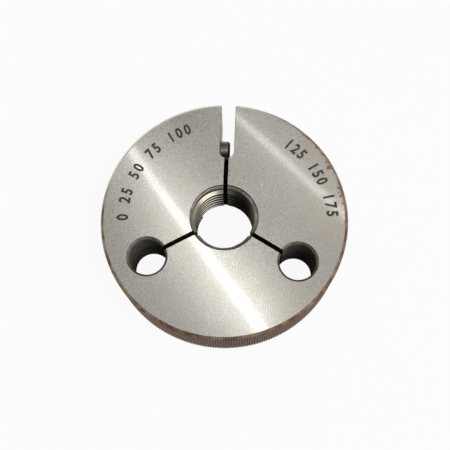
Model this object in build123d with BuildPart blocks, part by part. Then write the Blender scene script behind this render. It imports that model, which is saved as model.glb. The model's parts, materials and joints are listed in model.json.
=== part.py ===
from build123d import *
import os
from math import sqrt

# Adjustable thread ring gauge: a split disc of hardened steel with a threaded
# bore, opened or closed a few hundredths of a millimetre by two set screws.
# Millimetres. The origin is on the bore axis at the bottom face, +Z runs up
# the bore, and the locking slot opens on the +Y side.

# Ring blank
ring_diameter = 53.975
ring_thickness = 12.7
rim_chamfer = 0.75

# Threaded bore: the wall stands at the crests of the internal thread, and the
# entry chamfers are cut past its roots
bore_diameter = 12.724
bore_chamfer = 1.14

# Locking slot: milled in from the rim, with a full-radius end
locking_slot_width = 3.175
locking_slot_depth = 13.125  # rim to the bottom of the round end

# Saw cuts from the bore, which let the ring flex
saw_cut_width = 1.0

# Relief holes, at the blind ends of two of the saw cuts
relief_hole_diameter = 7.94
relief_hole_chamfer = 0.5
relief_circle_diameter = 37.4
relief_angle = 120.0  # to each side of the locking slot

# Cross hole for the two screws, parallel to X at half the thickness
screw_inset = 8.7375  # rim to screw axis, along the slot
screw_diameter = 4.76
screw_clearance = 0.05  # radial, where the real threads mesh
recess_diameter = 6.6
recess_depth = 5.0  # from the rim, along the screw axis

# Screws
driver_end_height = 0.8  # driver end above the floor of its recess
driver_slot_width = 0.9
driver_slot_depth = 1.3
screw_end_chamfer = 0.35
nose_diameter = 4.5
nose_reach = 2.1  # end of the nose out of the slot's flank
nose_shoulder = 0.6  # shoulder behind the nose, back from the flank
nose_chamfer = 0.4
locking_screw_setback = 0.4  # inner end, back from the slot's flank

# Worked out from the above
ring_radius = ring_diameter / 2
mid_height = ring_thickness / 2
relief_circle_radius = relief_circle_diameter / 2
relief_angles = (90 - relief_angle, 90 + relief_angle)
slot_flank = locking_slot_width / 2
locking_slot_end = ring_radius - locking_slot_depth + slot_flank  # centre of the round end
screw_offset = ring_radius - screw_inset
screw_radius = screw_diameter / 2
rim_at_screw = sqrt(ring_radius**2 - screw_offset**2)
recess_floor = rim_at_screw - recess_depth
driver_end = recess_floor + driver_end_height
screw_axis = Axis((0, screw_offset, mid_height), (1, 0, 0))
screw_section = Plane(origin=(0, screw_offset, mid_height), x_dir=(1, 0, 0), z_dir=(0, -1, 0))


def across_screw(x):
    """The plane across the screw axis at x; its own X runs along +Y."""
    return Plane(origin=(x, screw_offset, mid_height), x_dir=(0, 1, 0), z_dir=(1, 0, 0))


# Ring body
with BuildPart() as gauge_body:
    with BuildSketch():
        Circle(ring_radius)
    extrude(amount=ring_thickness)
    chamfer(gauge_body.edges().filter_by(GeomType.CIRCLE), rim_chamfer)

    with Locations((0, 0, ring_thickness)):
        Hole(bore_diameter / 2, depth=ring_thickness)
    chamfer(gauge_body.edges(Select.LAST).filter_by(GeomType.CIRCLE), bore_chamfer)

    for angle in relief_angles:
        with PolarLocations(relief_circle_radius, 1, start_angle=angle):
            Hole(relief_hole_diameter / 2)
        chamfer(gauge_body.edges(Select.LAST).filter_by(GeomType.CIRCLE), relief_hole_chamfer)

    # Locking slot, open at the rim
    with BuildSketch():
        with Locations((0, locking_slot_end)):
            Circle(slot_flank)
            Rectangle(locking_slot_width, ring_radius, align=(Align.CENTER, Align.MIN))
    extrude(amount=ring_thickness, mode=Mode.SUBTRACT)

    # Saw cuts: one into the locking slot, two into the relief holes
    with BuildSketch():
        Rectangle(saw_cut_width, locking_slot_end, align=(Align.CENTER, Align.MIN))
        for angle in relief_angles:
            with PolarLocations(0, 1, start_angle=angle):
                Rectangle(relief_circle_radius, saw_cut_width, align=(Align.MIN, Align.CENTER))
    extrude(amount=ring_thickness, mode=Mode.SUBTRACT)

    # Cross hole through both halves, with a recess at each end
    with BuildSketch(across_screw(0)):
        Circle(screw_radius + screw_clearance)
    extrude(amount=ring_radius, both=True, mode=Mode.SUBTRACT)
    for side in (-1, 1):
        with BuildSketch(across_screw(side * recess_floor)):
            Circle(recess_diameter / 2)
        extrude(amount=side * ring_radius, mode=Mode.SUBTRACT)

# Adjusting screw: in the -X half, its plain nose reaching into the slot
with BuildPart() as adjusting_screw:
    shoulder = -slot_flank - nose_shoulder
    nose_end = -slot_flank + nose_reach
    with BuildSketch(screw_section):
        with BuildLine():
            Polyline(
                (-driver_end, 0),
                (-driver_end, screw_radius),
                (shoulder, screw_radius),
                (shoulder, nose_diameter / 2),
                (nose_end, nose_diameter / 2),
                (nose_end, 0),
                close=True,
            )
        make_face()
    revolve(axis=screw_axis)
    turned_edges = adjusting_screw.edges().filter_by(GeomType.CIRCLE).group_by(Axis.X)
    chamfer(turned_edges[0], screw_end_chamfer)
    chamfer(turned_edges[-1], nose_chamfer)
    with BuildSketch(across_screw(-driver_end)):
        Rectangle(screw_diameter, driver_slot_width)
    extrude(amount=driver_slot_depth, mode=Mode.SUBTRACT)

# Locking screw: on the same axis in the +X half
with BuildPart() as locking_screw:
    inner_end = slot_flank + locking_screw_setback
    with BuildSketch(across_screw(inner_end)):
        Circle(screw_radius)
    extrude(amount=driver_end - inner_end)
    chamfer(locking_screw.edges().filter_by(GeomType.CIRCLE), screw_end_chamfer)
    with BuildSketch(across_screw(driver_end)):
        Rectangle(screw_diameter, driver_slot_width)
    extrude(amount=-driver_slot_depth, mode=Mode.SUBTRACT)

gauge_body.part.label = "gauge_body"
adjusting_screw.part.label = "adjusting_screw"
locking_screw.part.label = "locking_screw"

os.makedirs("parts", exist_ok=True)
export_step(gauge_body.part, "parts/gauge_body.step")
export_step(adjusting_screw.part, "parts/adjusting_screw.step")
export_step(locking_screw.part, "parts/locking_screw.step")
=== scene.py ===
# %% [markdown]
# # Dressing an adjustable thread ring gauge
# The gauge is a split disc of hardened steel with a threaded bore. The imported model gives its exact
# outer size and the places of its holes and screws, so every piece made here takes its size from that
# frame. Blender adds what a plain solid leaves out: the knurl, the threads, the marks and the finishes.

# %% Load the frame
import json
import math
from collections import Counter

import bpy
from mathutils import Matrix, Vector

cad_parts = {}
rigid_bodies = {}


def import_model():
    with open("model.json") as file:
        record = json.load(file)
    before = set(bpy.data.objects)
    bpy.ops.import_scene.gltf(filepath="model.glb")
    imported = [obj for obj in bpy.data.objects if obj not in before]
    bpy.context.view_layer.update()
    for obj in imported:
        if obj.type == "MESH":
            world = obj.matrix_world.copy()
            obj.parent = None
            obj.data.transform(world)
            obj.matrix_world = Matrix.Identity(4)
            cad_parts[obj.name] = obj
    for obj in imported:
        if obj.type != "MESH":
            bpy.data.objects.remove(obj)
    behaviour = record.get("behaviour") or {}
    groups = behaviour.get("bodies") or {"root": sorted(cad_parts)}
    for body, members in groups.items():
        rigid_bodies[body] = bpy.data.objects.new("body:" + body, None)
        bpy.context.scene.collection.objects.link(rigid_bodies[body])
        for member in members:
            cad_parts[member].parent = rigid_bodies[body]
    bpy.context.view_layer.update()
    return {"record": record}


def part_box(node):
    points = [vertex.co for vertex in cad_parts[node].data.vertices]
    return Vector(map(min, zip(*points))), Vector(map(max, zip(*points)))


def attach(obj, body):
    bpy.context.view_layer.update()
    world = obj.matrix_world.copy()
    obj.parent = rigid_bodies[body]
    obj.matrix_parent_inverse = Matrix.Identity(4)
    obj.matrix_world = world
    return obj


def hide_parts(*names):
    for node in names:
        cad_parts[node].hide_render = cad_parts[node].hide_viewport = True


MM = 0.001

for leftover in list(bpy.data.objects):
    bpy.data.objects.remove(leftover)
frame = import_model()

# %% [markdown]
# ## Sizes
# The disc, the screws and the bore are read from the frame and its record. What the solids leave to
# this script has its own sizes: the 18 threads to the inch, the tooth count of the knurl and the small
# edge break that a workshop files along the locking slot.

# %% Sizes
body_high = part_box("gauge_body")[1]
ring_radius = body_high.x
thickness = body_high.z
middle = thickness / 2
mounts = {mount["name"]: mount for mount in frame["record"]["mounts"]}

rim_chamfer = 0.75 * MM
bore_chamfer = 1.14 * MM
slot_width = 3.175 * MM
slot_end = 15.45 * MM  # bore axis to the centre of the slot's round end
saw_cut_width = 1.0 * MM
relief_hole_radius = 3.97 * MM
relief_hole_chamfer = 0.5 * MM
relief_circle_radius = 18.7 * MM
relief_angles = (math.radians(-30), math.radians(210))
cross_hole_radius = 2.43 * MM
recess_radius = 3.3 * MM
recess_floor = 14.875 * MM
edge_break = 0.08 * MM  # along both edges of the locking slot
clear = 2.0 * MM  # how far every cutting tool runs past the surface that it cuts

inch = 25.4 * MM
pitch = inch / 18
crest_radius = mounts["gauge_thread"]["dims"]["r_mm"] * MM
root_radius = 7.144 * MM
tooth_count = 300
tooth_depth = 0.2 * MM
print("ring radius", round(ring_radius / MM, 3), "thickness", round(thickness / MM, 3))

# %% [markdown]
# ## Finishes by name
# Each tool that cuts the ring leaves its own surface: the grinder a fine grey face, the saw a slit that
# is dark with scale and with painted shade. So every finish gets its name first. A tool carries the
# finish that it leaves, and the boolean modifier passes it on to the faces that the tool cuts. The node
# trees follow once the shapes are done.

# %% Name the finishes
FINISHES = (
    "rotary_ground_steel",
    "turned_steel_chamfer",
    "knurled_steel",
    "lapped_thread_steel",
    "milled_thread_start",
    "turned_bore_chamfer",
    "scaled_hole_wall_and_painted_shade",
    "milled_slot_wall",
    "countersunk_edge",
    "scaled_saw_cut_and_painted_shade",
    "etched_figures",
    "turned_screw_steel",
)
finishes = {name: bpy.data.materials.new(name) for name in FINISHES}
print(len(finishes), "finishes named")


# %% [markdown]
# ## Working by hand in code
# An operator acts on whatever is selected, so the habit here is the same each time: nothing selected,
# then one object, then the vertices or faces that a test picks by their place or by how they face.


# %% Selecting
def only(obj):
    """Object mode, with one object selected and active."""
    if bpy.context.mode != "OBJECT":
        bpy.ops.object.mode_set(mode="OBJECT")
    bpy.ops.object.select_all(action="DESELECT")
    obj.select_set(True)
    bpy.context.view_layer.objects.active = obj
    return obj


def edit(obj, kind, wanted):
    """Edit mode, with just the vertices or faces selected for which wanted is true."""
    only(obj)
    bpy.ops.object.mode_set(mode="EDIT")
    bpy.ops.mesh.select_mode(type=kind)
    bpy.ops.mesh.select_all(action="DESELECT")
    bpy.ops.object.mode_set(mode="OBJECT")
    for part in obj.data.vertices if kind == "VERT" else obj.data.polygons:
        part.select = wanted(part)
    bpy.ops.object.mode_set(mode="EDIT")


def everything(part):
    return True


def is_level(face):
    """Whether a face lies flat, like the two faces of the ring."""
    return abs(face.normal.z) > 0.9


def is_sloping(face):
    """Whether a face slopes at about 45 degrees, like a chamfer."""
    return 0.5 < abs(face.normal.z) < 0.9


print("selected now:", len(bpy.context.selected_objects), "objects")

# %% [markdown]
# ## Solids that stay closed
# Every piece here is a closed solid, cut by closed tools. Doubled vertices are welded and faces turned
# outwards after each sweep, and a count of open edges shows at once when a cut has gone wrong.

# %% Solids and cuts
WELD = 0.0005 * MM  # vertices closer than this become one


def started(name, finish):
    """Names the primitive just added, puts its place into its mesh and gives it a finish."""
    obj = bpy.context.object
    obj.name = obj.data.name = name
    bpy.ops.object.transform_apply(location=True, rotation=True, scale=True)
    obj.data.materials.append(finishes[finish])
    return obj


def tidy_shell(obj):
    """Merges doubled vertices and turns every face outwards."""
    edit(obj, "VERT", everything)
    bpy.ops.mesh.remove_doubles(threshold=WELD)
    bpy.ops.mesh.normals_make_consistent(inside=False)
    bpy.ops.object.mode_set(mode="OBJECT")


def leaks(obj):
    """How many edges don't join exactly two faces. A closed solid has none."""
    shared = Counter(key for face in obj.data.polygons for key in face.edge_keys)
    return sum(count != 2 for count in shared.values())


def combine(obj, tool, operation):
    """Cuts, or keeps what both share, and uses the tool up."""
    if leaks(tool):
        print(f"{tool.name} leaks at {leaks(tool)} edges")
    modifier = obj.modifiers.new(tool.name, "BOOLEAN")
    modifier.operation = operation
    modifier.solver = "MANIFOLD"
    modifier.material_mode = "TRANSFER"
    modifier.object = tool
    only(obj)
    bpy.ops.object.modifier_apply(modifier=modifier.name)
    print(f"{obj.name} {operation.lower()} {tool.name}: {len(obj.data.polygons)} faces, {leaks(obj)} leaks")
    bpy.data.objects.remove(tool)


# %% [markdown]
# ## The knurled blank
# A straight knurl is rolled or cut along the rim so that fingers grip it. It is made as a tall
# cylinder with four vertices to a tooth. Scaling two of each four towards the axis leaves a row of
# flat-topped teeth in one move.

# %% Knurled blank
SIDES_PER_TOOTH = 4
bpy.ops.mesh.primitive_cylinder_add(
    vertices=tooth_count * SIDES_PER_TOOTH,
    radius=ring_radius,
    depth=thickness + 2 * clear,
    location=(0, 0, middle),
)
ring = started("ring_body", "knurled_steel")
step = math.tau / (tooth_count * SIDES_PER_TOOTH)


def in_a_root(vertex):
    turn = round(math.atan2(vertex.co.y, vertex.co.x) / step)
    return turn % SIDES_PER_TOOTH in (2, 3)


edit(ring, "VERT", in_a_root)
squeeze = (ring_radius - tooth_depth) / ring_radius
bpy.ops.transform.resize(value=(squeeze, squeeze, 1), center_override=(0, 0, middle))
bpy.ops.object.mode_set(mode="OBJECT")
print("knurled blank:", len(ring.data.vertices), "vertices")

# %% [markdown]
# ## Faced and chamfered
# On a lathe the blank is faced to thickness and its corners are turned off at 45 degrees, which cuts
# the ends of the teeth to small arches. A wider disc with bevelled rims has exactly the turned shape,
# and what the two solids share is the ring. The disc has one side to a tooth, turned so that its
# corners fall on the middle of the tips, where no two edges meet.

# %% Facing and rim chamfers
bpy.ops.mesh.primitive_cylinder_add(
    vertices=tooth_count,
    radius=ring_radius + clear,
    depth=thickness,
    location=(0, 0, middle),
    rotation=(0, 0, step / 2),
)
turned = started("facing_and_chamfers", "rotary_ground_steel")
turned.data.materials.append(finishes["turned_steel_chamfer"])
edit(turned, "FACE", is_level)
bpy.ops.mesh.bevel(offset=rim_chamfer + clear, segments=1, affect="EDGES", material=1)
bpy.ops.object.mode_set(mode="OBJECT")
combine(ring, turned, "INTERSECT")


# %% [markdown]
# ## A thread from one tooth
# A thread is one tooth profile swept round the axis while it climbs by one pitch a turn. The profile
# starts as a single point, grows by extrusion along one pitch, and the Screw modifier sweeps it, which
# is quick and keeps every turn alike. Both open ends are then drawn in to points on the axis, so that
# the tool is a closed solid.


# %% Swept shapes
THREAD_STEPS = 120


def draw_profile(name, points, finish):
    """A line drawn from point to point by extruding a single vertex."""
    bpy.ops.mesh.primitive_plane_add(size=MM)
    line = started(name, finish)
    edit(line, "VERT", everything)
    bpy.ops.mesh.merge(type="CENTER")
    bpy.ops.transform.translate(value=points[0])
    for start, end in zip(points, points[1:]):
        bpy.ops.mesh.extrude_vertices_move(TRANSFORM_OT_translate={"value": end - start})
    return only(line)


def sweep(obj, lead, angle, turn_at):
    """Sweeps an object's edges round Z by an angle, climbing by lead each turn, then turns it in place."""
    modifier = obj.modifiers.new("sweep", "SCREW")
    modifier.angle = angle
    modifier.screw_offset = lead * angle / math.tau
    modifier.steps = modifier.render_steps = round(THREAD_STEPS * abs(angle) / math.tau)
    only(obj)
    bpy.ops.object.modifier_apply(modifier=modifier.name)
    obj.rotation_euler.z = turn_at
    bpy.ops.object.transform_apply(rotation=True)
    edit(obj, "VERT", everything)
    bpy.ops.mesh.remove_doubles(threshold=WELD)


def select_open_edges():
    bpy.ops.mesh.select_mode(type="EDGE")
    bpy.ops.mesh.select_all(action="DESELECT")
    bpy.ops.mesh.select_non_manifold(
        extend=False, use_wire=False, use_boundary=True, use_multi_face=False, use_verts=False
    )


def thread_solid(name, valley, land, flat, gap, lead, bottom, turns, turn_at, finish):
    """A solid threaded rod round Z: its surface is at radius valley for a length flat, at land for gap."""
    flank = (lead - flat - gap) / 2
    heights = (0, flat, flat + flank, flat + flank + gap, lead)
    radii = (valley, valley, land, land, valley)
    points = [Vector((radius, 0, bottom + height)) for radius, height in zip(radii, heights)]
    rod = draw_profile(name, points, finish)
    sweep(rod, lead, turns * math.tau, turn_at)
    select_open_edges()
    bpy.ops.mesh.extrude_edges_move()
    bpy.ops.mesh.merge(type="COLLAPSE")
    tidy_shell(rod)
    return rod


# %% [markdown]
# ## Tapping the bore
# A gauge thread has sharp straight flanks at 60 degrees, a flat on each crest a quarter of the pitch
# wide, and a narrow groove at each root. The tool runs past both faces. A right-hand thread climbs
# anticlockwise, seen from above.

# %% Tap
CREST_FLAT = pitch / 4
ROOT_FLAT = pitch - CREST_FLAT - 2 * (root_radius - crest_radius) * math.tan(math.radians(30))
start_angle = math.radians(64)  # where the full thread begins under the upper chamfer
start_height = thickness - 1.57 * MM  # the middle of the crest there
turns_below = math.ceil((start_height + clear) / pitch)
turns_above = math.ceil((thickness + clear - start_height) / pitch)
tap = thread_solid(
    "tap",
    valley=crest_radius,
    land=root_radius,
    flat=CREST_FLAT,
    gap=ROOT_FLAT,
    lead=pitch,
    bottom=start_height - CREST_FLAT / 2 - turns_below * pitch,
    turns=turns_below + turns_above,
    turn_at=start_angle,
    finish="lapped_thread_steel",
)
print("tap: root flat", round(ROOT_FLAT / MM, 3), "mm,", turns_below + turns_above, "turns")
combine(ring, tap, "DIFFERENCE")


# %% [markdown]
# ## Tools that go right through
# A drill, a slot cutter and a saw all leave the same kind of opening: straight sides with a broken
# edge at each face. The tool starts as its flat outline below the disc, wider by the broken edge.
# An inset with depth slopes it in at 45 degrees, an extrusion runs it to mid-thickness, and a
# mirrored copy is the upper half.


# %% Through tool
TOOL_BASE = 0.5 * MM  # plate under the slope, which closes the tool
SLOT_END_SIDES = 24  # to each quarter of a slot's round end
NEARLY_MEETING = 0.9999  # two rounded corners that met exactly would leave an edge with no length


def through_tool(outline, flare, edge_finish):
    """Turns a flat outline, drawn flare + clear too wide and clear below the disc, into a closed tool."""
    reach = flare + clear
    outline.data.materials.append(finishes[edge_finish])
    edit(outline, "FACE", everything)
    bpy.ops.mesh.extrude_region_move(TRANSFORM_OT_translate={"value": (0, 0, TOOL_BASE)})
    bpy.ops.mesh.inset(thickness=reach)
    bpy.ops.transform.translate(value=(0, 0, reach))
    bpy.ops.mesh.extrude_region_move(TRANSFORM_OT_translate={"value": (0, 0, middle - flare)})
    bpy.ops.mesh.delete(type="FACE")
    bpy.ops.mesh.select_all(action="SELECT")
    bpy.ops.mesh.duplicate()
    bpy.ops.transform.resize(value=(1, 1, -1), center_override=(0, 0, middle))
    tidy_shell(outline)
    for face in outline.data.polygons:
        face.material_index = int(is_sloping(face))
    return outline


def round_tool(name, x, y, radius, flare, sides, finish, edge_finish):
    bpy.ops.mesh.primitive_circle_add(
        vertices=sides, radius=radius + flare + clear, fill_type="NGON", location=(x, y, -clear - TOOL_BASE)
    )
    return through_tool(started(name, finish), flare, edge_finish)


def slit_tool(name, angle, start, end, width, flare, finish, edge_finish, end_radius=0):
    """A straight slit along a ray from the axis, with its inner end rounded if end_radius is given."""
    reach = flare + clear
    bpy.ops.mesh.primitive_plane_add(size=1, location=((start + end) / 2, 0, -clear - TOOL_BASE))
    bpy.context.object.scale = (end - start + 2 * reach, width + 2 * reach, 1)
    outline = started(name, finish)
    if end_radius:
        edit(outline, "VERT", lambda corner: corner.co.x < start)
        bpy.ops.mesh.bevel(
            offset=(end_radius + reach) * NEARLY_MEETING, segments=SLOT_END_SIDES, affect="VERTICES"
        )
    bpy.ops.object.mode_set(mode="OBJECT")
    outline.data.transform(Matrix.Rotation(angle, 4, "Z"))
    return through_tool(outline, flare, edge_finish)


# %% [markdown]
# ## Bore chamfers, relief holes, locking slot and saw cuts
# The bore is chamfered past the thread's roots. Two relief holes end two of the saw cuts, and the
# third cut runs into the locking slot, so the ring can close by a few hundredths of a millimetre.

# %% Cut through the ring
BORE_SIDES, HOLE_SIDES = 144, 96
core = crest_radius - 0.5 * MM  # the tool's straight part, which touches nothing inside the crests
countersink = round_tool(
    "bore_countersink",
    x=0,
    y=0,
    radius=core,
    flare=bore_chamfer + crest_radius - core,
    sides=BORE_SIDES,
    finish="lapped_thread_steel",
    edge_finish="turned_bore_chamfer",
)
combine(ring, countersink, "DIFFERENCE")
for angle in relief_angles:
    x, y = relief_circle_radius * math.cos(angle), relief_circle_radius * math.sin(angle)
    drill = round_tool(
        "relief_drill",
        x,
        y,
        radius=relief_hole_radius,
        flare=relief_hole_chamfer,
        sides=HOLE_SIDES,
        finish="scaled_hole_wall_and_painted_shade",
        edge_finish="countersunk_edge",
    )
    combine(ring, drill, "DIFFERENCE")
slot_angle = math.radians(90)
slot_cutter = slit_tool(
    "slot_cutter",
    slot_angle,
    start=slot_end - slot_width / 2,
    end=ring_radius + clear,
    width=slot_width,
    flare=edge_break,
    finish="milled_slot_wall",
    edge_finish="countersunk_edge",
    end_radius=slot_width / 2,
)
combine(ring, slot_cutter, "DIFFERENCE")
saw_cuts = [(slot_angle, slot_end)] + [(angle, relief_circle_radius) for angle in relief_angles]
for angle, end in saw_cuts:
    saw = slit_tool("saw", angle, 0, end, saw_cut_width, 0, "scaled_saw_cut_and_painted_shade", "scaled_saw_cut_and_painted_shade")
    combine(ring, saw, "DIFFERENCE")

# %% [markdown]
# ## The cross hole
# One hole crosses both halves beside the bore and holds the two screws. Each end is counterbored, so
# that a screwdriver reaches a screw below the rim. All three cuts are plain cylinders laid along X.

# %% Cross hole and recesses
screw_low, screw_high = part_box("adjusting_screw")
screw_y = (screw_low.y + screw_high.y) / 2
screw_z = (screw_low.z + screw_high.z) / 2
screw_radius = (screw_high.z - screw_low.z) / 2
CROSS_HOLE_SIDES = 64


def cross_tool(name, radius, start, end):
    bpy.ops.mesh.primitive_cylinder_add(
        vertices=CROSS_HOLE_SIDES,
        radius=radius,
        depth=end - start,
        location=((start + end) / 2, screw_y, screw_z),
        rotation=(0, math.radians(90), 0),
    )
    return started(name, "scaled_hole_wall_and_painted_shade")


far = ring_radius + clear
combine(ring, cross_tool("cross_drill", cross_hole_radius, -far, far), "DIFFERENCE")
combine(ring, cross_tool("left_counterbore", recess_radius, -far, -recess_floor), "DIFFERENCE")
combine(ring, cross_tool("right_counterbore", recess_radius, recess_floor, far), "DIFFERENCE")


# %% [markdown]
# ## Clearing the first thread
# Where a thread runs out into a chamfer it ends as a thin feather, which bends and spoils the gauge.
# It is milled away until the thread is whole, so the thread starts with a blunt step. The tool is a
# flat outline swept along the same helix by the Screw modifier, a little wider than the roots.


# %% Helical tool
def helical_tool(name, inner, outer, heights, lead, angle, turn_at, finish):
    """An outline of four corners, radius inner or outer, swept round Z by an angle while it climbs."""
    bpy.ops.mesh.primitive_plane_add(size=1, rotation=(math.radians(90), 0, 0))
    tool = started(name, finish)
    for corner in tool.data.vertices:
        pair = heights[0] if corner.co.z < 0 else heights[1]
        at_inner = corner.co.x < 0
        corner.co = (inner if at_inner else outer, 0, pair[0] if at_inner else pair[1])
    edit(tool, "FACE", everything)
    bpy.ops.mesh.delete(type="ONLY_FACE")
    sweep(tool, lead, angle, turn_at)
    select_open_edges()
    bpy.ops.mesh.fill_holes(sides=4)
    tidy_shell(tool)
    return tool


# %% Blunt starts at both ends
FEATHER_SWEEP = math.radians(230)  # by then the crest has run out into the chamfer
FEATHER_REACH = 1.6 * pitch  # how far the tool stands past the crest that it clears
FEATHER_INNER = 4.5 * MM  # well inside the crests
FEATHER_OUTER = root_radius + 0.012 * MM  # a hair past the roots, so that no skin stays


def feather_cutter(name, angle, height, direction):
    """Clears the thread on from angle and height, away from mid-thickness: up (1) or down (-1)."""
    near, beyond = height - direction * pitch / 2, height + direction * FEATHER_REACH
    low, high = min(near, beyond), max(near, beyond)
    return helical_tool(
        name,
        inner=FEATHER_INNER,
        outer=FEATHER_OUTER,
        heights=((low, low), (high, high)),
        lead=pitch,
        angle=direction * FEATHER_SWEEP,
        turn_at=angle,
        finish="milled_thread_start",
    )


end_height = bore_chamfer + 0.43 * MM  # the last whole crest, just above the lower chamfer
end_angle = start_angle - math.tau * (start_height - end_height) / pitch
combine(ring, feather_cutter("first_thread_cutter", start_angle, start_height, 1), "DIFFERENCE")
combine(ring, feather_cutter("last_thread_cutter", end_angle, end_height, -1), "DIFFERENCE")

# %% [markdown]
# ## The figures
# Two rows of figures are marked round the face, tops outwards, so the gauge reads clockwise. These are
# plain numbers in steps of 25. Each figure is Blender's own text made a mesh, narrowed, and turned to its
# place on the arc before it is sunk into the face.

# %% Figures
FIGURE_DEPTH = 0.07 * MM
FIGURE_HEIGHT = 2.5 * MM
TEXT_CAP = 0.73  # height of a capital in Blender's font, for a text size of 1
FIGURE_WIDTH = 0.82  # narrower than the font draws them
FIGURE_BOLD = 0.12 * MM  # added round every stroke


def figure(character, angle, radius):
    bpy.ops.object.text_add()
    text = bpy.context.object
    text.data.body = character
    text.data.align_x = "CENTER"
    text.data.size = FIGURE_HEIGHT / TEXT_CAP
    text.data.extrude = FIGURE_DEPTH
    text.data.offset = FIGURE_BOLD
    text.data.resolution_u = 3
    bpy.ops.object.convert(target="MESH")
    text.name = "figure"
    base = Vector((0, radius - FIGURE_HEIGHT / 2, thickness))
    narrow = Matrix.Diagonal((FIGURE_WIDTH, 1, 1, 1))
    turn = Matrix.Rotation(angle - math.radians(90), 4, "Z")
    text.data.transform(turn @ Matrix.Translation(base) @ narrow)
    text.data.materials.clear()
    text.data.materials.append(finishes["etched_figures"])
    return text


def row_of_figures(words, first_angle, last_angle, first_radius, last_radius):
    """Sets words along an arc, evenly from the first angle to the last, in degrees."""
    made = []
    for place, character in enumerate(words):
        share = place / (len(words) - 1)
        angle = math.radians(first_angle + share * (last_angle - first_angle))
        if character != " ":
            made.append(figure(character, angle, first_radius + share * (last_radius - first_radius)))
    return made


figures = row_of_figures(
    "0 25 50 75 100", first_angle=182, last_angle=114, first_radius=22.2 * MM, last_radius=22.4 * MM
)
figures += row_of_figures(
    "125 150 175", first_angle=52, last_angle=4, first_radius=22.4 * MM, last_radius=23.6 * MM
)
only(figures[0])
for mark in figures:
    mark.select_set(True)
bpy.ops.object.join()
marks = bpy.context.object
tidy_shell(marks)
combine(ring, marks, "DIFFERENCE")

# %% [markdown]
# ## Smooth walls and crisp edges
# Turned and drilled walls are made of narrow flats, which shading by angle blends into one round wall.
# Edges sharper than the angle stay crisp, so chamfers and teeth keep their lines. The ring then takes
# the place of the plain solid in the frame.

# %% Finish the ring's mesh
SMOOTH_BELOW = math.radians(30)
tidy_shell(ring)
only(ring)
bpy.ops.object.shade_smooth_by_angle(angle=SMOOTH_BELOW)
print("ring:", len(ring.data.polygons), "faces,", leaks(ring), "leaks")
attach(ring, "root")
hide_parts("gauge_body")


# %% [markdown]
# ## The screws
# Both screws are slotted and run in the same cross hole. Each is turned first: a lathe profile, spun
# about the axis, gives the chamfers and, on the adjusting screw, the plain nose that bears across the
# slot. A V tool swept along the helix then cuts the thread, and a saw cut makes the driver slot.


# %% Turn, thread and slot a screw
SCREW_LEAD = inch / 32
THREAD_DEPTH = 0.42 * MM
THREAD_GAP = 0.1 * MM  # width of the groove at its bottom
NOSE_RADIUS = 2.25 * MM
NOSE_CHAMFER = 0.4 * MM
END_CHAMFER = 0.35 * MM
SHOULDER_BACK = 0.6 * MM
DRIVER_SLOT_WIDTH = 0.9 * MM
DRIVER_SLOT_DEPTH = 1.3 * MM
TOOL_PAST_SCREW = 0.1 * MM  # how far the V tool stands out past the thread's crests
TURNING_STEPS = 72


def turned_blank(name, profile):
    """A solid of revolution round Z from (radius, height) points that start and end on the axis."""
    points = [Vector((radius, 0, height)) for radius, height in profile]
    blank = draw_profile(name, points, "turned_screw_steel")
    edit(blank, "VERT", everything)
    bpy.ops.mesh.spin(steps=TURNING_STEPS, angle=math.tau, center=(0, 0, 0), axis=(0, 0, 1))
    tidy_shell(blank)
    return blank


def screw_piece(name, node, profile, thread_start, inner_end, direction):
    """A screw with its inner end at x = inner_end and its driver end towards direction along X."""
    length = profile[-1][1]
    screw = turned_blank(name, profile)
    root, outside = screw_radius - THREAD_DEPTH, screw_radius + TOOL_PAST_SCREW
    half_root = THREAD_GAP / 2
    half_outside = half_root + (outside - root) * math.tan(math.radians(30))
    groove = helical_tool(
        name + "_thread_tool",
        inner=root,
        outer=outside,
        heights=(
            (thread_start - half_root, thread_start - half_outside),
            (thread_start + half_root, thread_start + half_outside),
        ),
        lead=SCREW_LEAD,
        angle=math.tau * (length + SCREW_LEAD - thread_start) / SCREW_LEAD,
        turn_at=0,
        finish="turned_screw_steel",
    )
    combine(screw, groove, "DIFFERENCE")
    bpy.ops.mesh.primitive_cube_add(size=1, location=(0, 0, length))
    bpy.context.object.scale = (4 * screw_radius, DRIVER_SLOT_WIDTH, 2 * DRIVER_SLOT_DEPTH)
    combine(screw, started(name + "_slot_saw", "turned_screw_steel"), "DIFFERENCE")
    screw.rotation_euler.y = direction * math.radians(90)
    screw.location = (inner_end, screw_y, screw_z)
    only(screw)
    bpy.ops.object.transform_apply(location=True, rotation=True)
    tidy_shell(screw)
    bpy.ops.object.shade_smooth_by_angle(angle=SMOOTH_BELOW)
    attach(screw, "root")
    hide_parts(node)


# %% [markdown]
# ## The two lathe profiles
# Lengths come from the frame's own screws. The adjusting screw's plain nose reaches across about two
# thirds of the slot, from a shoulder inside the left half. The locking screw is threaded end to end.

# %% Both screws
nose_end = screw_high.x
adjusting_length = screw_high.x - screw_low.x
shoulder = nose_end + slot_width / 2 + SHOULDER_BACK
adjusting_profile = (
    (0, 0),
    (NOSE_RADIUS - NOSE_CHAMFER, 0),
    (NOSE_RADIUS, NOSE_CHAMFER),
    (NOSE_RADIUS, shoulder),
    (screw_radius, shoulder),
    (screw_radius, adjusting_length - END_CHAMFER),
    (screw_radius - END_CHAMFER, adjusting_length),
    (0, adjusting_length),
)
locking_low, locking_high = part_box("locking_screw")
locking_length = locking_high.x - locking_low.x
locking_profile = (
    (0, 0),
    (screw_radius - END_CHAMFER, 0),
    (screw_radius, END_CHAMFER),
    (screw_radius, locking_length - END_CHAMFER),
    (screw_radius - END_CHAMFER, locking_length),
    (0, locking_length),
)
screw_piece("nosed_adjusting_screw", "adjusting_screw", adjusting_profile, shoulder, nose_end, -1)
screw_piece("slotted_locking_screw", "locking_screw", locking_profile, 0, locking_low.x, 1)

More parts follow.
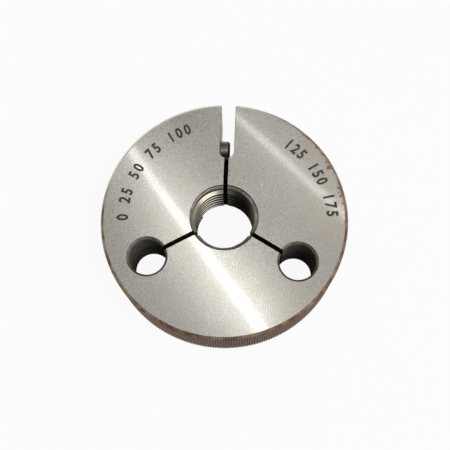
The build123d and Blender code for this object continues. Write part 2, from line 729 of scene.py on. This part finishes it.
# %% [markdown]
# ## Building finishes from nodes
# A node is added together with its settings and whatever feeds it, so each finish below reads from
# its pattern to its shader. A feed is a number, a vector, an sRGB hex colour, a socket, or a node that
# gives the first output it has in use. Patterns use Object coordinates, which are metres on this part,
# and their scales are worked out from real sizes.


# %% Node helper
SMOOTH = {"interpolation_type": "SMOOTHSTEP"}  # for a range that eases in and out
COLOURS = {"data_type": "RGBA"}  # for a mix of two colours


def linear(code):
    """An sRGB hex colour as the linear RGBA that a shader works with."""
    levels = [int(code[place : place + 2], 16) / 255 for place in (1, 3, 5)]
    return (*((c / 12.92 if c <= 0.04045 else ((c + 0.055) / 1.055) ** 2.4) for c in levels), 1)


def add(tree, kind, feeds=None, **settings):
    """Adds a node, sets its properties, and links or sets the inputs named or numbered in feeds."""
    node = tree.nodes.new("ShaderNode" + kind)
    for name, value in settings.items():
        setattr(node, name, value)
    for socket, value in (feeds or {}).items():
        if isinstance(value, bpy.types.Node):
            value = next(output for output in value.outputs if output.enabled)
        if isinstance(value, bpy.types.NodeSocket):
            tree.links.new(value, node.inputs[socket])
        else:
            node.inputs[socket].default_value = linear(value) if isinstance(value, str) else value
    return node


def fresh(material):
    """An empty node tree for a material, with its object coordinates ready."""
    material.use_nodes = True
    tree = material.node_tree
    tree.nodes.clear()
    return tree, add(tree, "TexCoord").outputs["Object"]


def shaded(tree, colour, roughness, bump=None, metallic=1, **constants):
    """Ends a tree with its shader: colour and roughness may vary, and constants are set on the shader."""
    feeds = {"Metallic": metallic, "Base Color": colour, "Roughness": roughness}
    if bump is not None:
        feeds["Normal"] = bump
    feeds.update((socket.replace("_", " "), value) for socket, value in constants.items())
    add(tree, "OutputMaterial", {"Surface": add(tree, "BsdfPrincipled", feeds)})


# %% [markdown]
# ## Patterns of this gauge
# A round part is easiest to dress by distance from its axis and by angle round it. Blotches of two
# colours come back in most finishes, so they are made once here too.


# %% Places and blotches
def from_axis(tree, place):
    """Distance from the bore axis."""
    flat = add(tree, "VectorMath", {0: place, 1: (1, 1, 0)}, operation="MULTIPLY")
    return add(tree, "VectorMath", {0: flat}, operation="LENGTH")


def round_axis(tree, place):
    """Angle round the bore axis, anticlockwise from +X."""
    x, y = add(tree, "SeparateXYZ", {0: place}).outputs[:2]
    return add(tree, "Math", {0: y, 1: x}, operation="ARCTAN2")


def stretch(tree, turn, first, last, fade):
    """1 between two angles, fading in and out at its ends."""
    rising = add(tree, "MapRange", {0: turn, 1: first, 2: first + fade}, **SMOOTH)
    falling = add(tree, "MapRange", {0: turn, 1: last, 2: last - fade}, **SMOOTH)
    return add(tree, "Math", {0: rising, 1: falling}, operation="MULTIPLY")


def blotched(tree, place, size, first, second, detail=3, roughness=0.6):
    """Two colours in blotches about size metres across, and the noise that they come from."""
    feeds = {"Vector": place, "Scale": 1 / size, "Detail": detail, "Roughness": roughness}
    blotches = add(tree, "TexNoise", feeds)
    share = add(tree, "MapRange", {0: blotches, 1: 0.35, 2: 0.65}, **SMOOTH)
    return add(tree, "Mix", {0: share, 6: first, 7: second}, **COLOURS), blotches


# %% [markdown]
# ## Rotary ground face
# Hardened tool steel, ground flat under a rotary wheel: the grit leaves fine arcs that cross, with a
# matt grain between them, and the thin oil that keeps rust off adds a second, sharper gloss. Rust has
# still started along one stretch of the edge.

# %% Grinding arcs and rust
WAVE_TURN = math.tau / 20  # the ring pattern's own spacing at scale 1
ARC_SPACING = 0.5 * MM  # coarser than real grit, so that it shows
RUST_STRETCH = (math.radians(-8), math.radians(56))
RUST_FADE = math.radians(6)
RUST_EDGE = 0.5 * MM  # size of the raggedness round a spot
RUST_SPOTS = (  # angle in degrees, distance from the axis and size in mm
    (54.7, 14.2, 0.25),
    (49.7, 26.2, 0.75),
    (46.6, 26.3, 0.7),
    (40.5, 26.2, 0.75),
    (31.7, 26.0, 0.75),
    (28.5, 25.9, 1.35),
    (16.9, 26.1, 1.1),
    (14.7, 25.6, 0.45),
    (12.9, 26.0, 0.9),
    (8.9, 26.2, 0.75),
)


def arcs(tree, place, centre):
    """Arcs about a centre beside the part, as a grinding wheel leaves them."""
    moved = add(tree, "Mapping", {"Vector": place, "Location": centre})
    feeds = {"Vector": moved, "Scale": WAVE_TURN / ARC_SPACING, "Distortion": 6, "Detail": 2}
    feeds["Detail Scale"] = 0.6
    wave = add(tree, "TexWave", feeds, wave_type="RINGS", rings_direction="Z", wave_profile="SIN")
    return wave.outputs["Fac"]


def rust_mask(tree, place):
    """Nearly round spots near the edge, their outlines made ragged by noise."""
    feeds = {"Vector": place, "Scale": 1 / RUST_EDGE, "Detail": 3, "Roughness": 0.7}
    ragged = add(tree, "TexNoise", feeds)
    mask = 0.0
    for angle, distance, size in RUST_SPOTS:
        turn = math.radians(angle)
        spot = (distance * MM * math.cos(turn), distance * MM * math.sin(turn), thickness)
        gap = add(tree, "VectorMath", {0: place, 1: spot}, operation="DISTANCE")
        feeds = {0: ragged, 1: -1.6 * size * MM, 2: gap}
        reach = add(tree, "Math", feeds, operation="MULTIPLY_ADD")
        feeds = {0: reach, 1: -0.2 * size * MM, 2: -0.55 * size * MM}
        near = add(tree, "MapRange", feeds, **SMOOTH)
        mask = add(tree, "Math", {0: mask, 1: near}, operation="MAXIMUM")
    return mask


def edge_rust(tree, place, radius):
    """A thin rust line along one stretch of the edge."""
    along = stretch(tree, round_axis(tree, place), *RUST_STRETCH, RUST_FADE)
    feeds = {"Vector": place, "Scale": 1 / (1.2 * MM), "Detail": 3, "Roughness": 0.65}
    feeds = {0: add(tree, "TexNoise", feeds), 1: 1.3 * MM, 2: radius}
    wandering = add(tree, "Math", feeds, operation="MULTIPLY_ADD")
    feeds = {0: wandering, 1: ring_radius - 0.4 * MM, 2: ring_radius + 0.1 * MM}
    outer = add(tree, "MapRange", feeds, **SMOOTH)
    return add(tree, "Math", {0: along, 1: outer}, operation="MULTIPLY")


# %% [markdown]
# The face itself is bare steel with a faint warm cast towards its right side. Both its colour and its
# gloss follow the grain a little, so a lamp's reflection breaks up as it does on real grinding. Rust
# isn't metal, so it takes the metallic share away and adds roughness.

# %% Ground face
GRAIN = 0.3 * MM  # coarser than real grain, so that it shows
ARC_DEPTH, GRAIN_DEPTH = 0.0022 * MM, 0.0015 * MM
ARC_SHARE = 0.12  # how strongly the arcs tint the steel, next to its grain
ARC_CENTRES = ((0.045, 0.03, 0), (-0.05, 0.02, 0))  # metres, well beside the disc
WARM_FROM, WARM_TO = 8 * MM, 27 * MM


def ground_face():
    tree, place = fresh(finishes["rotary_ground_steel"])
    first, second = (arcs(tree, place, centre) for centre in ARC_CENTRES)
    scratches = add(tree, "Math", {0: first, 1: second}, operation="ADD")
    grain = add(tree, "TexNoise", {"Vector": place, "Scale": 1 / GRAIN, "Roughness": 0.6})
    grit = add(tree, "Math", {0: scratches, 1: ARC_SHARE, 2: grain}, operation="MULTIPLY_ADD")
    share = add(tree, "MapRange", {0: grit, 1: 0.5, 2: 0.85})
    steel = add(tree, "Mix", {0: share, 6: "#B2AEA6", 7: "#D6D3CB"}, **COLOURS)
    cloud = add(tree, "TexNoise", {"Vector": place, "Scale": 1 / (5 * MM)})
    across = add(tree, "SeparateXYZ", {0: place})
    dull, warm = (cloud, 0.35, 0.65, 0.25, "#B8B2A2"), (across, WARM_FROM, WARM_TO, 0.5, "#BBB0A2")
    for pattern, low, high, most, tint in (dull, warm):
        share = add(tree, "MapRange", {0: pattern, 1: low, 2: high, 4: most}, **SMOOTH)
        steel = add(tree, "Mix", {0: share, 6: steel, 7: tint}, **COLOURS)
    spots, line = rust_mask(tree, place), edge_rust(tree, place, from_axis(tree, place))
    rust = add(tree, "Math", {0: spots, 1: line}, operation="MAXIMUM")
    flecks = add(tree, "TexNoise", {"Vector": place, "Scale": 1 / (0.4 * MM)})
    tint = add(tree, "Mix", {0: flecks, 6: "#74462D", 7: "#A66C4B"}, **COLOURS)
    colour = add(tree, "Mix", {0: rust, 6: steel, 7: tint}, **COLOURS)
    rough = add(tree, "MapRange", {0: grain, 1: 0.3, 2: 0.7, 3: 0.27, 4: 0.33})
    rough = add(tree, "Math", {0: rust, 1: 0.35, 2: rough}, operation="MULTIPLY_ADD")
    bump = add(tree, "Bump", {"Height": scratches, "Distance": ARC_DEPTH})
    bump = add(tree, "Bump", {"Height": grain, "Distance": GRAIN_DEPTH, "Normal": bump})
    bare = add(tree, "Math", {0: 1, 1: rust}, operation="SUBTRACT")
    shaded(tree, colour, rough, bump, bare, Coat_Weight=1, Coat_Roughness=0.08, Coat_IOR=1.6)


ground_face()
print("ground face:", len(finishes["rotary_ground_steel"].node_tree.nodes), "nodes")

# %% [markdown]
# ## Rim, bore, holes and screws
# The same steel, left as other tools leave it. The turned chamfers and the knurl carry a brown film of
# rust and old oil, worn off the teeth's tips by handling. The holes and cuts keep the matt scale of
# hardening. Their dark colour is partly the scale's own and partly painted shade. One function makes all
# the stained steels, and a second one makes the scale.


# %% Stained and scaled steel
TOOL_GRAIN = 0.25 * MM  # coarser than the marks of a real tool, so that it shows
SCALE_GLOSS = 0  # dull, also where it is seen at a low angle
SCALE_ROUGHNESS = 0.7


def stained_steel(name, clean, stain, size, roughness):
    """Steel of one colour with blotches of a second one, about size metres across."""
    tree, place = fresh(finishes[name])
    colour = blotched(tree, place, size, clean, stain)[0]
    grain = add(tree, "TexNoise", {"Vector": place, "Scale": 1 / TOOL_GRAIN, "Roughness": 0.6})
    share = add(tree, "MapRange", {0: grain, 1: 0.35, 2: 0.65, 4: 0.3}, **SMOOTH)
    colour = add(tree, "Mix", {0: share, 6: colour, 7: stain}, **COLOURS)
    feeds = {0: grain, 1: 0.3, 2: 0.7, 3: roughness - 0.06, 4: roughness + 0.06}
    rough = add(tree, "MapRange", feeds)
    shaded(tree, colour, rough, add(tree, "Bump", {"Height": grain, "Distance": 0.002 * MM}))


def scaled_steel(name, dark, light, size):
    """Steel under the matt scale of hardening, which no tool has cleaned away since; its dark colours also
    carry painted shade.
    """
    tree, place = fresh(finishes[name])
    colour = blotched(tree, place, size, dark, light)[0]
    grain = add(tree, "TexNoise", {"Vector": place, "Scale": 1 / TOOL_GRAIN, "Roughness": 0.6})
    bump = add(tree, "Bump", {"Height": grain, "Distance": 0.004 * MM})
    shaded(tree, colour, SCALE_ROUGHNESS, bump, metallic=0, Specular_IOR_Level=SCALE_GLOSS)


# Each line gives two colours, the size of their blotches, and for bare steel its roughness.
# The hole walls and the saw cuts are darker than scale alone: partly painted shade.
scaled_steel("scaled_hole_wall_and_painted_shade", "#53504B", "#6B6762", 2 * MM)  # dark grey and quite dull
scaled_steel("scaled_saw_cut_and_painted_shade", "#1E1C19", "#2F2D28", 1 * MM)  # nearly black, so the cuts read as lines
stained_steel("milled_slot_wall", "#A39C8F", "#7C756A", 1.2 * MM, 0.35)  # a soft grey shine
stained_steel("milled_thread_start", "#8F897C", "#746E62", 0.7 * MM, 0.38)  # like the slot, but darker
stained_steel("countersunk_edge", "#8E877B", "#6C655A", 1 * MM, 0.38)  # a thin, dim glint
stained_steel("etched_figures", "#5E5A55", "#4A4641", 0.5 * MM, 0.6)  # dark grey and matt
stained_steel("turned_screw_steel", "#978E80", "#71685B", 1.2 * MM, 0.35)  # oily and slightly brown
print("stained and scaled steels made")

# %% [markdown]
# ## The knurl
# Teeth catch dirt between them and are rubbed on top. The distance from the axis tells a tip from a
# root, so the film can stay dark brown in the grooves while the tips are paler and just a little
# metallic. The film is dull, which keeps the rim from shining like new metal.

# %% Knurled rim
BARE_SHARE = 0.25  # how much of a tip's surface is clean metal
KNURL_GRAIN = 0.2 * MM  # coarser than real, so that it shows


def knurled_rim():
    tree, place = fresh(finishes["knurled_steel"])
    feeds = {0: from_axis(tree, place), 1: ring_radius - tooth_depth, 2: ring_radius}
    tips = add(tree, "MapRange", feeds, **SMOOTH)
    film = blotched(tree, place, 2.5 * MM, "#39271F", "#50392E", detail=4, roughness=0.65)[0]
    rubbing = add(tree, "TexNoise", {"Vector": place, "Scale": 1 / (0.5 * MM)})
    worn = add(tree, "Mix", {0: rubbing, 6: "#6C4F3F", 7: "#886A57"}, **COLOURS)
    colour = add(tree, "Mix", {0: tips, 6: film, 7: worn}, **COLOURS)
    grain = add(tree, "TexNoise", {"Vector": place, "Scale": 1 / KNURL_GRAIN, "Roughness": 0.6})
    rough = add(tree, "MapRange", {0: grain, 1: 0.3, 2: 0.7, 3: 0.42, 4: 0.6})
    bump = add(tree, "Bump", {"Height": grain, "Distance": 0.004 * MM})
    bare = add(tree, "Math", {0: tips, 1: BARE_SHARE}, operation="MULTIPLY")
    shaded(tree, colour, rough, bump, bare, Specular_IOR_Level=0.05)


knurled_rim()
print("knurl:", len(finishes["knurled_steel"].node_tree.nodes), "nodes")

# %% [markdown]
# ## The lapped thread
# Lapping has left the thread's flanks shining. The crests are matt and painted near black, and the
# grooves below a set height are painted dark: both are painted shade. Those dark lines are what makes a
# thread readable. Again the distance from the axis tells crest, flank and root apart.

# %% Lapped thread
PAINTED_SHADE_BELOW = 9.8 * MM  # the grooves below this height carry painted shade
PAINTED_SHADE_FADE = 0.4 * MM
# The colour of the thread's painted shade.
PAINTED_THREAD_SHADE = "#1F1C18"


def lapped_thread():
    tree, place = fresh(finishes["lapped_thread_steel"])
    radius = from_axis(tree, place)
    feeds = {"Vector": place, "Scale": 1 / (0.6 * MM), "Detail": 3, "Roughness": 0.6}
    share = add(tree, "MapRange", {0: add(tree, "TexNoise", feeds), 1: 0.3, 2: 0.7}, **SMOOTH)
    steel = add(tree, "Mix", {0: share, 6: "#8C867B", 7: "#969084"}, **COLOURS)
    # Grooves below a set height are painted dark: painted shade.
    feeds = {0: radius, 1: crest_radius + 0.1 * MM, 2: crest_radius + 0.2 * MM}
    groove = add(tree, "MapRange", feeds, **SMOOTH)
    height = add(tree, "SeparateXYZ", {0: place}).outputs[2]
    below = add(tree, "MapRange", {0: height, 1: PAINTED_SHADE_BELOW, 2: PAINTED_SHADE_BELOW - PAINTED_SHADE_FADE}, **SMOOTH)
    painted_groove_shade = add(tree, "Math", {0: groove, 1: below}, operation="MULTIPLY")
    # The crests are painted near black as shade, and are also matt and not metal.
    feeds = {0: radius, 1: crest_radius + 0.01 * MM, 2: crest_radius + 0.05 * MM, 3: 1, 4: 0}
    crest = add(tree, "MapRange", feeds, **SMOOTH)
    dark = add(tree, "Math", {0: painted_groove_shade, 1: crest}, operation="MAXIMUM")
    colour = add(tree, "Mix", {0: dark, 6: steel, 7: PAINTED_THREAD_SHADE}, **COLOURS)
    rough = add(tree, "Math", {0: crest, 1: 0.4, 2: 0.27}, operation="MULTIPLY_ADD")
    metal = add(tree, "Math", {0: 1, 1: crest}, operation="SUBTRACT")
    shaded(tree, colour, rough, metallic=metal, Specular_IOR_Level=SCALE_GLOSS)


lapped_thread()
print("thread:", len(finishes["lapped_thread_steel"].node_tree.nodes), "nodes")

# %% [markdown]
# ## The turned chamfers
# The rim's chamfer is brown with rust and oil, but nearly clean along one stretch that hands keep
# rubbing. The bore's chamfer is cleaner and carries a painted shadow, a dark line along its outer edge,
# which draws the bore's outline on the pale face.

# %% Turned chamfers
RUBBED_STRETCH = (math.radians(60), math.radians(178))
RUBBED_FADE = math.radians(20)


def rim_chamfer_steel():
    tree, place = fresh(finishes["turned_steel_chamfer"])
    film, blotches = blotched(tree, place, 2 * MM, "#94836F", "#6B5140")
    rubbed = stretch(tree, round_axis(tree, place), *RUBBED_STRETCH, RUBBED_FADE)
    colour = add(tree, "Mix", {0: rubbed, 6: film, 7: "#C4BDB0"}, **COLOURS)
    shaded(tree, colour, add(tree, "MapRange", {0: blotches, 1: 0.3, 2: 0.7, 3: 0.36, 4: 0.48}))


def bore_chamfer_steel():
    tree, place = fresh(finishes["turned_bore_chamfer"])
    steel, blotches = blotched(tree, place, 1.6 * MM, "#CBC4B6", "#A59C8C")
    edge_radius = crest_radius + bore_chamfer
    # A painted shadow: the chamfer is painted dark along its outer edge.
    feeds = {0: from_axis(tree, place), 1: edge_radius - 0.3 * MM, 2: edge_radius - 0.1 * MM}
    line = add(tree, "MapRange", feeds, **SMOOTH)
    colour = add(tree, "Mix", {0: line, 6: steel, 7: "#2A2722"}, **COLOURS)
    shaded(tree, colour, add(tree, "MapRange", {0: blotches, 1: 0.3, 2: 0.7, 3: 0.3, 4: 0.42}))


rim_chamfer_steel()
bore_chamfer_steel()
print("all finishes made:", all(finish.node_tree for finish in finishes.values()))

# %% [markdown]
# ## The room
# The part lies on a plain white sheet. The sheet looks white to the camera and in the steel, so the
# pale background never needs stronger lamps. Only the paper under the saw cuts has no glow, and its
# colour there is painted dark as a painted shadow, because nothing but those narrow cuts shows it.


# %% Floor
def seen_directly(tree):
    """1 for rays from the camera, off glossy surfaces or through clear ones, and 0 for the rest."""
    path = add(tree, "LightPath").outputs
    feeds = {0: path["Is Camera Ray"], 1: path["Is Glossy Ray"]}
    seen = add(tree, "Math", feeds, operation="MAXIMUM")
    return add(tree, "Math", {0: seen, 1: path["Is Transmission Ray"]}, operation="MAXIMUM")


bpy.ops.mesh.primitive_plane_add(size=4, location=(0, 0, 0))
floor = bpy.context.object
floor.name = "floor"
paper = bpy.data.materials.new("matt_white_paper")
floor.data.materials.append(paper)
SHADOW_SHARE = 0.07  # how much of the sheet's own shading the camera sees
CUT_SHADOW = 18.9 * MM  # from the bore axis to where the shadow of the slot's own cut ends
# The second colour is a painted shadow for the paper under the cuts.
SHEET_WHITE, PAINTED_CUT_SHADOW = "#F4F4F2", "#2E2D2B"
bore_edge, ring_of_cuts = crest_radius + bore_chamfer, relief_circle_radius - relief_hole_radius
tree, place = fresh(paper)
radius = from_axis(tree, place)
past_bore = add(tree, "Math", {0: radius, 1: bore_edge}, operation="GREATER_THAN")
near_cuts = add(tree, "Math", {0: radius, 1: ring_of_cuts}, operation="LESS_THAN")
aside = add(tree, "Math", {0: add(tree, "SeparateXYZ", {0: place})}, operation="ABSOLUTE")
within_walls = add(tree, "Math", {0: aside, 1: slot_width / 2}, operation="LESS_THAN")
within_reach = add(tree, "Math", {0: radius, 1: CUT_SHADOW}, operation="LESS_THAN")
in_slot = add(tree, "Math", {0: within_walls, 1: within_reach}, operation="MULTIPLY")
under_cuts = add(tree, "Math", {0: near_cuts, 1: in_slot}, operation="MAXIMUM")
shadow = add(tree, "Math", {0: past_bore, 1: under_cuts}, operation="MULTIPLY")
lit = add(tree, "Math", {0: 1, 1: shadow}, operation="SUBTRACT")
open_share = add(tree, "Math", {0: lit, 1: 1 - SHADOW_SHARE}, operation="MULTIPLY")
share = add(tree, "Math", {0: seen_directly(tree), 1: open_share}, operation="MULTIPLY")
# Under the cuts the sheet's colour is painted dark: a painted shadow.
tone = add(tree, "Mix", {0: shadow, 6: SHEET_WHITE, 7: PAINTED_CUT_SHADOW}, **COLOURS)
diffuse = add(tree, "BsdfDiffuse", {"Color": tone})
glow = add(tree, "Emission", {"Color": (1, 1, 1, 1), "Strength": 1})
add(tree, "OutputMaterial", {"Surface": add(tree, "MixShader", {0: share, 1: diffuse, 2: glow})})
print("sheet:", len(tree.nodes), "nodes")

# %% [markdown]
# ## The sky
# Bare steel looks like the room that it mirrors. A room with one bright side, a dimmer front and a dark
# corner gives each wall of the bore its own tone, where an even white sky would make them all alike.
# Near the horizon the sky is as white as the sheet, so the two meet without a seam.

# %% Sky
SKY_LEVEL = 0.5
SKY_SLOPE = 0.35  # how much brighter the sky is on the +X side
SKY_FRONT = 0.3  # how much darker it is in front of the part
OVERHEAD_SHARE, BEHIND_SHARE = 1.24, 0.7  # the sky's share overhead, and further back behind the part
OVERHEAD_UP_TO, BEHIND_PAST = 0.2, 0.45  # on a unit sphere, towards +Y
DARK_CORNER = (-0.53, -0.49, 0.69)  # direction of a dark corner, which half of the thread mirrors
CORNER_RIM, CORNER_CORE, CORNER_SHARE = 0.84, 0.95, 0.05  # cosines round that direction, and its share
HORIZON_LEVEL = 0.95  # as bright as the sheet looks far away
WHITE_BELOW, ROOM_ABOVE = 0.15, 0.33  # heights on a unit sphere: white up to one, the room past the other
world = bpy.data.worlds.new("studio")
bpy.context.scene.world = world
world.use_nodes = True
tree = world.node_tree
tree.nodes.clear()
direction = add(tree, "TexCoord").outputs["Generated"]
across, ahead, rise = add(tree, "SeparateXYZ", {0: direction}).outputs
room = add(tree, "Math", {0: across, 1: SKY_SLOPE, 2: SKY_LEVEL}, operation="MULTIPLY_ADD")
front = add(tree, "Math", {0: ahead, 1: 0}, operation="MINIMUM")
room = add(tree, "Math", {0: front, 1: SKY_FRONT, 2: room}, operation="MULTIPLY_ADD")
feeds = {0: ahead, 1: OVERHEAD_UP_TO, 2: BEHIND_PAST, 3: OVERHEAD_SHARE, 4: BEHIND_SHARE}
behind = add(tree, "MapRange", feeds, **SMOOTH)
room = add(tree, "Math", {0: room, 1: behind}, operation="MULTIPLY")
feeds = {0: direction, 1: DARK_CORNER}
closeness = add(tree, "VectorMath", feeds, operation="DOT_PRODUCT")
feeds = {0: closeness, 1: CORNER_RIM, 2: CORNER_CORE, 3: 1, 4: CORNER_SHARE}
corner = add(tree, "MapRange", feeds, **SMOOTH)
room = add(tree, "Math", {0: room, 1: corner}, operation="MULTIPLY")
feeds = {0: rise, 1: WHITE_BELOW, 2: ROOM_ABOVE, 3: HORIZON_LEVEL, 4: 0}
horizon = add(tree, "MapRange", feeds, **SMOOTH)
strength = add(tree, "Math", {0: room, 1: horizon}, operation="MAXIMUM")
sky = add(tree, "Background", {"Color": (1, 1, 1, 1), "Strength": strength})
add(tree, "OutputWorld", {"Surface": sky})
print("sky:", len(tree.nodes), "nodes")

# %% [markdown]
# ## Camera
# The camera looks steeply down on the face from the side opposite the locking slot, close enough for
# the far side of the disc to look smaller. A little upward shift of the frame keeps the verticals calm.

# %% Camera
CAMERA_AZIMUTH, CAMERA_ELEVATION, CAMERA_ROLL = (math.radians(a) for a in (6.484, 76.908, -4.293))
CAMERA_DISTANCE = 155.824 * MM
CAMERA_TARGET = Vector((0.518, -12.815, 0)) * MM
back = Vector(
    (
        math.sin(CAMERA_AZIMUTH) * math.cos(CAMERA_ELEVATION),
        -math.cos(CAMERA_AZIMUTH) * math.cos(CAMERA_ELEVATION),
        math.sin(CAMERA_ELEVATION),
    )
)
lens = bpy.data.cameras.new("camera")
lens.sensor_width = 36
lens.lens = 53.96
lens.shift_y = 0.14
lens.clip_start = 0.01
camera = bpy.data.objects.new("camera", lens)
bpy.context.scene.collection.objects.link(camera)
level = (-back).cross(Vector((0, 0, 1))).normalized()
right = Matrix.Rotation(CAMERA_ROLL, 3, back) @ level
up = back.cross(right)
camera.matrix_world = Matrix.Translation(CAMERA_TARGET + back * CAMERA_DISTANCE) @ (
    Matrix((right, up, back)).transposed().to_4x4()
)
bpy.context.scene.camera = camera
print("camera at, mm:", [round(c / MM, 1) for c in camera.matrix_world.translation])

# %% [markdown]
# ## Lamps
# Flat ground steel shows its lamps as bands, so two long narrow strips hang where their reflections
# cross the face. A face point and the camera fix where a strip at a given height has to be. One soft
# box in front and to the right lights the edges that stand up from the face.

# %% Lamps
eye = camera.matrix_world.translation
eye_height = eye.z - thickness


def above(face_point, height):
    """The place at a height over the face that the camera sees mirrored at a face point."""
    x, y = (c * MM for c in face_point)
    reach = (eye_height + height) / eye_height
    return Vector((eye.x + (x - eye.x) * reach, eye.y + (y - eye.y) * reach, thickness + height))


def area_lamp(name, place, towards, size, radiance, long_side=None):
    """A rectangular lamp turned towards a direction, with its long side along another."""
    lamp = bpy.data.lights.new(name, "AREA")
    lamp.shape = "RECTANGLE"
    lamp.size, lamp.size_y = size
    lamp.energy = radiance * math.pi * lamp.size * lamp.size_y
    obj = bpy.data.objects.new(name, lamp)
    bpy.context.scene.collection.objects.link(obj)
    obj.visible_camera = False
    facing = -towards.normalized()
    along = long_side or facing.cross(Vector((0, 0, 1)))
    along = (along - facing * along.dot(facing)).normalized()
    turned = Matrix((along, facing.cross(along), facing)).transposed().to_4x4()
    obj.matrix_world = Matrix.Translation(place) @ turned


def strip_lamp(name, first, last, heights, width, radiance):
    """A strip mirrored in the face between two face points, each end at its own height, all in mm."""
    start, end = above(first, heights[0] * MM), above(last, heights[1] * MM)
    along = end - start
    sideways = along.cross(Vector((0, 0, 1)))
    size = (along.length, width * MM)
    area_lamp(name, (start + end) / 2, along.cross(sideways), size, radiance, along)


strip_lamp("main_strip", (-23.62, 17.8), (10.24, -26.16), heights=(125, 60), width=3.6, radiance=9)
strip_lamp("side_strip", (-2.0, 27.5), (28.0, -0.3), heights=(90, 90), width=2.4, radiance=6)
SOFTBOX_SIDE = 0.28  # metres
softbox_place = Vector((0.52, -0.38, 0.75)) * 0.5
area_lamp("softbox", softbox_place, -softbox_place, (SOFTBOX_SIDE, SOFTBOX_SIDE), radiance=3.4)
print("lamps:", [lamp.name for lamp in bpy.data.lights])

# %% [markdown]
# ## The view
# The colours are written for the plain Standard view, so that is set here.

# %% Finish
bpy.context.scene.view_settings.view_transform = "Standard"
